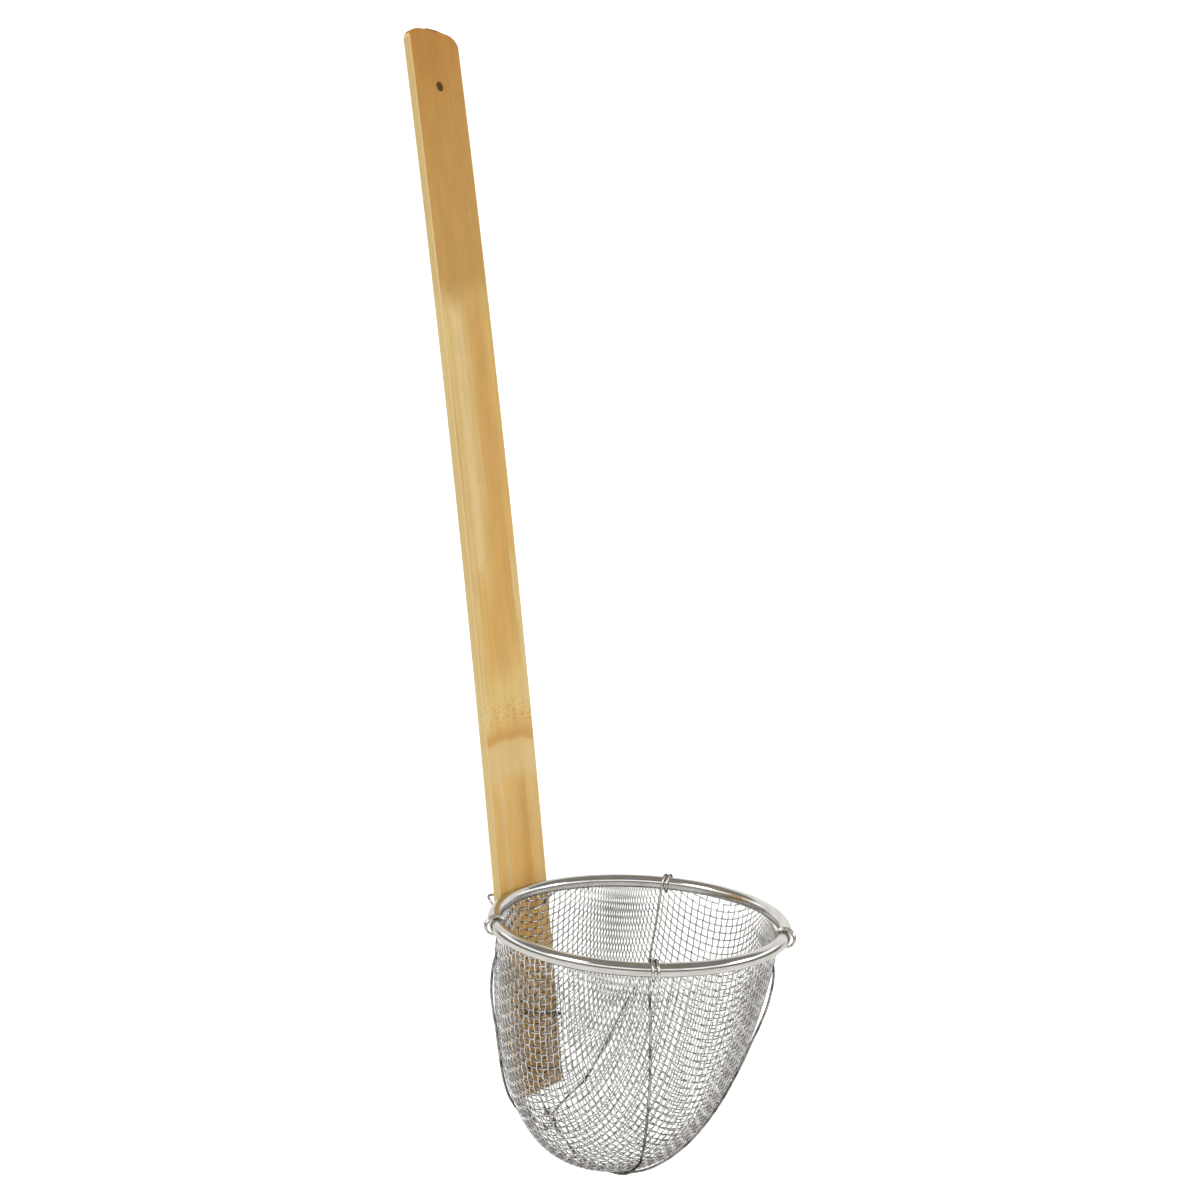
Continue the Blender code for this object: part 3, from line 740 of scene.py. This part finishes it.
def quarter_net(first, second):
    """Knots of one quarter of the cloth between two straight strands, every cell side one pitch."""
    net = np.full((MESH_REACH + 1, MESH_REACH + 1, 3), np.nan)
    net[:, 0], net[0, :] = first, second
    for total in range(2, 2 * MESH_REACH + 1):
        i = np.arange(max(1, total - MESH_REACH), min(MESH_REACH, total - 1) + 1)
        j = total - i
        left, right = net[i - 1, j], net[i, j - 1]
        guess = left + right - net[i - 1, j - 1]
        useful = np.isfinite(guess).all(-1)
        useful &= np.where(useful, np.minimum(left[:, 2], right[:, 2]), 1.0) < 4 * MM
        if useful.any():
            found = meet(left[useful], right[useful], guess[useful])
            net[i[useful], j[useful]] = found
    return net


def whole_net():
    """The four quarters as one square array of knots, with the lowest point at its middle."""
    strands = [straight_strand(MESH_TWIST + k * math.pi / 2) for k in range(4)]
    size, mid = 2 * MESH_REACH + 1, MESH_REACH
    net = np.full((size, size, 3), np.nan)
    for k in range(4):
        quarter = quarter_net(strands[k], strands[(k + 1) % 4])
        u, v = np.meshgrid(np.arange(MESH_REACH + 1), np.arange(MESH_REACH + 1), indexing="ij")
        for _ in range(k):
            u, v = -v, u
        net[mid + u, mid + v] = quarter
    return net


def against_slat(points):
    """The cloth pressed flat where it would go through the slat."""
    limit = bag_limit(points[:, 2]) - CLOTH_THICKNESS / 2
    over = np.clip((points[:, 1] - limit) / FLAT_BLEND, -40, 40)
    pressed = points.copy()
    pressed[:, 1] -= FLAT_BLEND * np.log1p(np.exp(over))
    return pressed


def crimped_strand(knots, over_first):
    """A wire through a row of knots, outside and inside the wires it crosses by turns."""
    ends = np.vstack([2 * knots[0] - knots[1], knots, 2 * knots[-1] - knots[-2]])
    steps = np.arange(STEPS_PER_CELL) / STEPS_PER_CELL
    t = steps[:, None]
    spans = []
    for k in range(len(knots) - 1):
        before, start, end, after = ends[k : k + 4]
        spans.append(
            0.5
            * (
                2 * start
                + t * (end - before)
                + t**2 * (2 * before - 5 * start + 4 * end - after)
                + t**3 * (3 * start - before - 3 * end + after)
            )
        )
    path = np.vstack([*spans, knots[-1:]])
    normals = unit(cloth_slope(path))
    phase = np.arange(len(path)) / STEPS_PER_CELL + (0 if over_first else 1)
    return against_slat(path) + MESH_CRIMP * np.cos(math.pi * phase)[:, None] * normals, normals


def runs(mask):
    """Start and end of each stretch of true values."""
    edges = np.flatnonzero(np.diff(np.concatenate([[0], mask.astype(int), [0]])))
    return list(zip(edges[::2], edges[1::2]))


def strands_of(net, parity):
    """Every wire that runs along the array's second index, as (row, path, normals)."""
    made = []
    for row in range(net.shape[0]):
        for start, end in runs(np.isfinite(net[row]).all(-1)):
            if end - start < 2:
                continue
            over_first = (row + start + parity) % 2 == 0
            path, normals = crimped_strand(net[row, start:end], over_first)
            for a, b in runs(path[:, 2] < CLOTH_TOP):
                if b - a > 3:
                    made.append((row - MESH_REACH, path[a:b], normals[a:b]))
    return made


def woven_cloth(finish):
    net = whole_net()
    for name, strands in (
        ("warp", strands_of(net, 0)),
        ("weft", strands_of(net.transpose(1, 0, 2), 1)),
    ):
        for side, chosen in (
            ("left", [s for s in strands if s[0] < 0]),
            ("right", [s for s in strands if s[0] >= 0]),
        ):
            wires(
                f"{name}_wires_{side}",
                [s[1] for s in chosen],
                MESH_WIRE_RADIUS,
                MESH_WIRE_SIDES,
                finish,
                "mesh_basket",
                [s[2] for s in chosen],
            )


# ---------------------------------------------------------------- rib wires


def hook(azimuth, way):
    """A turn and a half round the rim tube, from the free tip outside to the rib inside."""
    tip_angle, rib_angle = math.radians(-395), math.radians(184)
    points = []
    for i in range(HOOK_STEPS + 1):
        angle = tip_angle + (rib_angle - tip_angle) * i / HOOK_STEPS
        loose = HOOK_SLACK * max(0.0, math.cos(angle + math.radians(20)))
        out = HOOK_RADIUS + loose
        slide = way * HOOK_PITCH * (rib_angle - angle) / (2 * math.pi)
        here = azimuth + slide / RIM_RADIUS
        points.append(polar(here, RIM_RADIUS + out * math.cos(angle), out * math.sin(angle)))
    return points


def threading(azimuth, swing):
    """Knots that take a rib down inside the bag, out through the cloth and into a shallow bow.

    The swing is how far the rib's azimuth moves, in degrees, over the depth of the bow.
    """
    stand_offs = [(7, -2.2), (13.5, -0.7), (20, 1.3), (28, 2.1), (36, 2.3), (45, 1.7)]
    start = math.degrees(azimuth)
    return [on_wall(start + swing * d / 45, d * MM, off * MM) for d, off in stand_offs]


def rib_from_hook(azimuth, way, swing, knots):
    coil = hook(azimuth, way)
    return coil[:-1] + smooth_path([coil[-1], *threading(azimuth, swing), *knots], RIB_STEP)


def keel_axis(share):
    """The straight stretch of the keel wire, below the slat's foot, that the side ribs grip."""
    start = Vector((0, 47.6 * MM, -120.6 * MM))
    end = Vector((0, 56.2 * MM, -112.2 * MM))
    return start.lerp(end, share), (end - start).normalized()


def grip(share, side):
    """Turns of a rib's end round the keel wire; side is the side of X that it comes from."""
    start, along = keel_axis(share)
    away = Vector((0, along.z, -along.y))
    points = []
    steps = round(WRAP_TURNS * 28)
    for i in range(steps + 1):
        angle = math.pi / 2 - 2 * math.pi * WRAP_TURNS * i / steps
        ring = Vector((-side * math.cos(angle), 0, 0)) + away * math.sin(angle)
        rise = along * WRAP_PITCH * WRAP_TURNS * i / steps
        points.append(start + rise + WRAP_RADIUS * ring)
    return points


def side_rib(azimuth, way, side, swing, fall, share):
    """A rib beside the handle: down the wall, then back under the slat's foot to the keel wire."""
    knots = [on_wall(side * a, d * MM) for a, d in fall]
    coil = grip(share, -side)
    lead = coil[0] + Vector((-side * 5 * MM, 0.4 * MM, 0.3 * MM))
    return rib_from_hook(azimuth, way, swing, [*knots, lead, coil[0]]) + coil[1:]


def left_rib_path():
    fall = [(49, 54), (48.5, 62), (46.5, 74), (43, 84), (37, 94), (28, 104), (18, 110.5)]
    return side_rib(LEFT_RIB_AZIMUTH, 1, 1, 0, fall, 0.12)


def back_rib_path():
    fall = [(54.5, 54), (51, 61), (46.3, 72), (42.6, 81), (37, 91), (28, 103), (17, 109)]
    return side_rib(BACK_RIB_AZIMUTH, -1, -1, 5, fall, 0.58)


def right_rib_path():
    wall = [(-158, 54), (-161, 64), (-166, 80), (-171, 93), (-177, 104)]
    knots = [on_wall(a, d * MM) for a, d in wall]
    base = [(-3.4, -25.5, 112), (-6.2, -16.5, 119), (-8.2, -8, 123), (-8.6, 1, 125.5)]
    base += [(-7.6, 9, 126)]
    knots += [on_base(x * MM, y * MM, d * MM) for x, y, d in base]
    return rib_from_hook(RIGHT_RIB_AZIMUTH, -1, -3, knots)


def front_rib_path():
    """The front rib runs on under the bag as its keel and ends in the back of the slat."""
    wall = [(134.3, 55), (134.9, 65), (135.3, 80), (136, 93), (136.2, 103), (136, 110)]
    knots = [on_wall(a, d * MM) for a, d in wall]
    base = [(-17, -13.5, 118), (-13.4, -5, 123), (-10.6, 5, 126), (-9.4, 15, 126.5)]
    base += [(-8, 25, 126), (-4.2, 34.5, 124.5)]
    knots += [on_base(x * MM, y * MM, d * MM) for x, y, d in base]
    knots.append(on_base(-0.9 * MM, 41.5 * MM, 122 * MM, 1.9 * MM))
    knots += [keel_axis(share)[0] for share in (0, 0.34, 0.67, 1)]
    return rib_from_hook(FRONT_RIB_AZIMUTH, 1, 2.5, knots) + keel_tail()[1:]


def keel_tail():
    """From the keel, round the slat's foot, up its back and into the wood, where the real wire sits
    in a blind hole; no hole is cut for it.
    """
    foot = -SLAT_BELOW_RIM
    back = slat_thickness(foot)
    clear = back + WIRE_RADIUS + 0.45 * MM
    turn = [
        keel_axis(1)[0],
        slat_point(foot - 2.6 * MM, 0, 1.2 * MM),
        slat_point(foot - 1.2 * MM, 0, back + 0.6 * MM),
        slat_point(foot + 1.6 * MM, 0, clear),
        slat_point(foot + 9 * MM, 0, clear),
        slat_point(foot + 12.4 * MM, 0, clear - 0.1 * MM),
        slat_point(foot + 13.4 * MM, 0, back - 0.3 * MM),
        slat_point(foot + 13.4 * MM, 0, back - 2.8 * MM),
    ]
    return smooth_path(turn, 0.5 * MM)


# ---------------------------------------------------------------- ties


def cloth_inside(x, depth, clear):
    """A point inside the bag, beside the cloth in front of the slat."""
    share = depth / BAG_DEPTH
    reach = BAG_RADIUS * max(0.0, 1 - share**DEPTH_POWER) ** (1 / RADIUS_POWER)
    y = BAG_DRIFT * share**DRIFT_POWER + math.sqrt(reach * reach - x * x)
    y = min(y, float(bag_limit(-depth))) - CLOTH_THICKNESS - clear
    return Vector((x, y, -depth))


def rim_tie_path():
    """Bent round the back of the slat at the rim, with both ends turned in through the cloth."""
    half = SLAT_WIDTH / 2
    clear = TIE_RADIUS + 0.55 * MM
    back = SLAT_FOOT_THICKNESS + clear
    knots = [
        cloth_inside(-6.5 * MM, 7.0 * MM, clear + 0.4 * MM),
        cloth_inside(-12 * MM, 6.4 * MM, clear + 0.1 * MM),
        cloth_inside(-19 * MM, 6.6 * MM, clear),
        slat_point(-6.6 * MM, -half - 2.8 * MM, -4.4 * MM),
        slat_point(-4.8 * MM, -half - 3.8 * MM, 0.4 * MM),
        slat_point(-1.0 * MM, -half - 3.6 * MM, 4.4 * MM),
        slat_point(0.6 * MM, -half - 0.4 * MM, back + 0.8 * MM),
        slat_point(-1 * MM, -half + 8 * MM, back + 0.2 * MM),
        slat_point(-2.6 * MM, 0, back),
        slat_point(-4.2 * MM, half - 7 * MM, back + 0.1 * MM),
        slat_point(-5.2 * MM, half - 0.2 * MM, back + 0.4 * MM),
        slat_point(-5.8 * MM, half + 1.4 * MM, 2.6 * MM),
        slat_point(-6.4 * MM, half + 0.4 * MM, -1.6 * MM),
        slat_point(-7.0 * MM, half - 5 * MM, -3.0 * MM),
        cloth_inside(6.5 * MM, 7.8 * MM, clear),
        cloth_inside(-0.5 * MM, 8.8 * MM, clear + 0.5 * MM),
    ]
    return smooth_path(knots, 0.7 * MM)


def staple_path(middle, along, half, tilt):
    """Crown inside the bag, legs through cloth and slat, tips bent flat on the slat's back."""
    clear = STAPLE_RADIUS + 0.4 * MM
    crown_out = -(CLOTH_THICKNESS + 1.1 * MM + clear)
    back = slat_thickness(along)
    left, right = middle - half, middle + half
    turned_in = 7 * MM
    knots = [
        slat_point(along + tilt, left + turned_in, back + clear),
        slat_point(along + tilt, left + 1.6 * MM, back + clear),
        slat_point(along + tilt, left, back - 0.8 * MM),
        slat_point(along + tilt, left, crown_out + 1.4 * MM),
        slat_point(along + tilt, left + 1.3 * MM, crown_out),
        slat_point(along - tilt, right - 1.3 * MM, crown_out),
        slat_point(along - tilt, right, crown_out + 1.4 * MM),
        slat_point(along - tilt, right, back - 0.8 * MM),
        slat_point(along - tilt, right - 1.6 * MM, back + clear),
        slat_point(along - tilt, right - turned_in, back + clear),
    ]
    return smooth_path(knots, 0.5 * MM)


def wire_pieces(finish):
    upper = staple_path(4.3 * MM, -65.7 * MM, 11.8 * MM, 3.0 * MM)
    lower = staple_path(1.6 * MM, -94 * MM, 11.0 * MM, 3.0 * MM)
    for name, path, radius, node in (
        ("front_rib_wire", front_rib_path(), WIRE_RADIUS, "front_rib_keel"),
        ("right_rib_wire", right_rib_path(), WIRE_RADIUS, "right_rib"),
        ("left_rib_wire", left_rib_path(), WIRE_RADIUS, "left_rib"),
        ("back_rib_wire", back_rib_path(), WIRE_RADIUS, "back_rib"),
        ("rim_tie_wire", rim_tie_path(), TIE_RADIUS, "rim_tie"),
        ("upper_staple_wire", upper, STAPLE_RADIUS, "upper_staple"),
        ("lower_staple_wire", lower, STAPLE_RADIUS, "lower_staple"),
    ):
        piece = wires(name, [path], radius, 16, finish, node)
        piece.data.set_sharp_from_angle(angle=math.radians(60))


# ---------------------------------------------------------------- slat


def slat_stations():
    """Places along the slat, its half width there and how far its faces are drawn in."""
    half = SLAT_WIDTH / 2
    foot_across, foot_along = SLAT_FOOT_CORNER
    head_across, head_along = SLAT_HEAD_CORNER
    foot, head = -SLAT_BELOW_RIM, SLAT_ABOVE_RIM - SLAT_HEAD_CROWN
    stations = [(foot, half - foot_across - SLAT_EDGE, SLAT_EDGE)]
    for i in range(9):
        angle = math.pi / 2 * (1 - i / 8)
        drop = foot + SLAT_EDGE + foot_along * (1 - math.sin(angle))
        stations.append((drop, half - foot_across * (1 - math.cos(angle)), 0))
    first, last = stations[-1][0], head - head_along
    for i in range(1, 140):
        stations.append((first + (last - first) * i / 140, half, 0))
    for i in range(17):
        angle = math.pi / 2 * i / 16
        rise = head - head_along * (1 - math.sin(angle))
        stations.append((rise, half - head_across * (1 - math.cos(angle)), 0))
    stations.append((SLAT_ABOVE_RIM - SLAT_EDGE, 5.5 * MM, 0.15 * MM))
    stations.append((SLAT_ABOVE_RIM, 4 * MM, SLAT_EDGE))
    return stations


def slat_section(along, half, draw):
    """The slat's section with rounded corners, as (across, out) from its inner face."""
    back = slat_thickness(along)
    corner = SLAT_EDGE - draw / 2
    outline = []
    for side_x, side_out, turn in ((1, 0, -90), (1, 1, 0), (-1, 1, 90), (-1, 0, 180)):
        middle = (side_x * (half - corner), back - draw - corner if side_out else draw + corner)
        for i in range(5):
            angle = math.radians(turn + 90 * i / 4)
            outline.append(
                (middle[0] + corner * math.cos(angle), middle[1] + corner * math.sin(angle))
            )
        if (side_x, side_out) in ((1, 1), (-1, 0)):
            face = back - draw if side_out else draw
            for i in range(1, 8):
                outline.append((side_x * (half - corner) * (1 - i / 4), face))
    return outline


def hole_drill():
    """A drill through the slat with a countersink at each face, as one turned shape."""
    along = SLAT_ABOVE_RIM - HANG_HOLE_BELOW_HEAD
    lean, half = slat_lean(along), slat_thickness(along) / 2
    wide, reach = HANG_HOLE_RADIUS + HANG_HOLE_CHAMFER, half + 1 * MM
    outline = [
        (0, reach),
        (wide + 1 * MM, reach),
        (HANG_HOLE_RADIUS, half - HANG_HOLE_CHAMFER),
        (HANG_HOLE_RADIUS, HANG_HOLE_CHAMFER - half),
        (wide + 1 * MM, -reach),
        (0, -reach),
    ]
    mesh = bpy.data.meshes.new("hang_hole_drill")
    mesh.from_pydata([(x, 0, z) for x, z in outline], [(i, i + 1) for i in range(5)], [])
    drill = bpy.data.objects.new("hang_hole_drill", mesh)
    bpy.context.scene.collection.objects.link(drill)
    turn = drill.modifiers.new("turn", "SCREW")
    turn.steps = turn.render_steps = 64
    turn.use_merge_vertices = True
    turn.merge_threshold = 0.00001
    drill.location = RIM_CENTRE + slat_point(along, 0, half)
    drill.rotation_euler = (math.pi / 2 - lean, 0, 0)
    return drill


def slat_places(points):
    """Across, along and out of points on the slat, by undoing its lean and bow."""
    x, y, z = points.T
    y = y - RIM_OUTER_RADIUS - SLAT_OFF_RIM
    along, out = z.copy(), np.zeros_like(z)
    for _ in range(12):
        lean, middle = slat_lean(along), slat_lean(along / 2)
        out = (y - along * np.sin(middle)) / np.cos(lean)
        along = (z + out * np.sin(lean)) / np.cos(middle)
    return np.stack([x, along, out], -1)


def handle(finish):
    rows = []
    for along, half, draw in slat_stations():
        rows.append([slat_point(along, x, out) for x, out in slat_section(along, half, draw)])
    sides = len(rows[0])
    points = [p for row in rows for p in row]
    faces = []
    for i in range(len(rows) - 1):
        for j in range(sides):
            k = (j + 1) % sides
            here, above = i * sides, (i + 1) * sides
            faces.append((here + j, here + k, above + k, above + j))
    faces.append(tuple(reversed(range(sides))))
    faces.append(tuple(range(len(points) - sides, len(points))))
    slat = mesh_piece("bamboo_slat", points, faces, finish, "handle")
    drill = hole_drill()
    cut = slat.modifiers.new("hang_hole", "BOOLEAN")
    cut.object = drill
    cut.solver = "EXACT"
    bpy.context.view_layer.update()
    shape = slat.evaluated_get(bpy.context.evaluated_depsgraph_get())
    drilled = bpy.data.meshes.new_from_object(shape)
    slat.modifiers.remove(cut)
    slat.data = drilled
    bpy.data.objects.remove(drill, do_unlink=True)
    store(slat, "slat_place", slat_places(vertices(slat)))
    slat.data.shade_smooth()
    slat.data.set_sharp_from_angle(angle=math.radians(32))
    return slat


# ---------------------------------------------------------------- stage, light and camera


def sweep_floor():
    """A pale floor that curves up into a backdrop behind the strainer."""
    floor, reach, bend, height = -0.95, 2.6, 0.8, 3.4
    profile = [(-reach, 0.0), (reach - bend, 0.0)]
    for i in range(1, 17):
        angle = math.pi / 2 * i / 16
        profile.append((reach - bend + bend * math.sin(angle), bend * (1 - math.cos(angle))))
    profile.append((reach, height))
    heading = CAMERA_BEARING
    forward = Vector((math.sin(heading), math.cos(heading), 0))
    aside = Vector((math.cos(heading), -math.sin(heading), 0))
    points, faces = [], []
    for run, rise in profile:
        for side in (-3.2, 3.2):
            points.append(forward * run + aside * side + Vector((0, 0, floor + rise)))
    for i in range(len(profile) - 1):
        faces.append((2 * i, 2 * i + 1, 2 * i + 3, 2 * i + 2))
    mesh = bpy.data.meshes.new("sweep")
    mesh.from_pydata(points, [], faces)
    mesh.shade_smooth()
    mesh.materials.append(paper())
    sweep = bpy.data.objects.new("sweep", mesh)
    bpy.context.scene.collection.objects.link(sweep)


def softbox(name, bearing, height, distance, size, power):
    """A square area light that looks at the middle of the strainer."""
    lamp = bpy.data.lights.new(name, "AREA")
    lamp.shape = "SQUARE"
    lamp.size = size
    lamp.energy = power
    item = bpy.data.objects.new(name, lamp)
    bpy.context.scene.collection.objects.link(item)
    target = Vector((0, 0.0, -0.2))
    item.location = target + Vector(
        (distance * math.sin(bearing), distance * math.cos(bearing), height)
    )
    item.rotation_euler = (target - item.location).to_track_quat("-Z", "Y").to_euler()


def sky():
    """A pale floor, grey walls with a dim line at the horizon, and a bright band above them."""
    world = bpy.data.worlds.new("studio")
    bpy.context.scene.world = world
    world.use_nodes = True
    tree = world.node_tree
    place = tree.nodes.new("ShaderNodeTexCoord")
    split = tree.nodes.new("ShaderNodeSeparateXYZ")
    ramp = tree.nodes.new("ShaderNodeValToRGB")
    tree.links.new(place.outputs["Generated"], split.inputs[0])
    shift = tree.nodes.new("ShaderNodeMath")
    shift.operation = "MULTIPLY_ADD"
    shift.inputs[1].default_value = 0.5
    shift.inputs[2].default_value = 0.5
    tree.links.new(split.outputs["Z"], shift.inputs[0])
    tree.links.new(shift.outputs[0], ramp.inputs["Fac"])
    stops = [
        (0.0, (0.80, 0.80, 0.79)),
        (0.33, (0.72, 0.72, 0.71)),
        (0.37, (0.46, 0.46, 0.45)),
        (0.482, (0.44, 0.44, 0.43)),
        (0.490, (0.17, 0.14, 0.11)),
        (0.508, (0.18, 0.15, 0.12)),
        (0.53, (0.33, 0.32, 0.31)),
        (0.60, (0.36, 0.35, 0.34)),
        (0.635, (2.3, 2.3, 2.3)),
        (0.74, (2.3, 2.3, 2.3)),
        (0.775, (0.10, 0.13, 0.20)),
        (0.82, (0.34, 0.34, 0.35)),
        (1.0, (0.46, 0.42, 0.37)),
    ]
    band = ramp.color_ramp
    while len(band.elements) < len(stops):
        band.elements.new(0.5)
    for element, (spot, tone) in zip(band.elements, stops):
        element.position = spot
        element.color = (*tone, 1.0)
    tree.links.new(ramp.outputs["Color"], tree.nodes["Background"].inputs["Color"])
    tree.nodes["Background"].inputs["Strength"].default_value = 0.85


def camera():
    lens = bpy.data.cameras.new("camera")
    lens.lens = CAMERA_LENS
    lens.sensor_width = 36
    lens.clip_start, lens.clip_end = 0.01, 50
    item = bpy.data.objects.new("camera", lens)
    bpy.context.scene.collection.objects.link(item)
    item.location = RIM_CENTRE + Vector(
        (
            -CAMERA_DISTANCE * math.sin(CAMERA_BEARING),
            -CAMERA_DISTANCE * math.cos(CAMERA_BEARING),
            CAMERA_HEIGHT,
        )
    )
    heading = Matrix.Rotation(-(CAMERA_BEARING + CAMERA_YAW), 4, "Z")
    tilt = Matrix.Rotation(math.pi / 2 + CAMERA_PITCH, 4, "X")
    roll = Matrix.Rotation(CAMERA_ROLL, 4, "Z")
    item.rotation_euler = (heading @ tilt @ roll).to_euler()
    bpy.context.scene.camera = item


def build():
    camera()
    rim_ring(polished_steel())
    # Outline is the colour of the painted shade at the wires' edges; light is also the colour of
    # the painted highlight near the rim.
    light, dark, outline = colour(232, 231, 229), colour(186, 184, 180), colour(34, 33, 32)
    woven_cloth(drawn_steel("cloth_steel", light, dark, outline, 0.16, 0.28))
    # The same for the rib wires: outline is painted shade, light is also the painted highlight near
    # the rim.
    light, dark, outline = colour(208, 205, 198), colour(74, 70, 63), colour(14, 12, 10)
    wire_pieces(drawn_steel("wire_steel", light, dark, outline, 0.16, 0.34))
    handle(bamboo())
    sweep_floor()
    sky()
    softbox("key", math.radians(-75), 0.9, 1.5, 0.7, 9)
    softbox("fill", math.radians(150), 0.5, 1.6, 0.5, 4)
    bpy.context.scene.view_settings.view_transform = "Standard"


build()
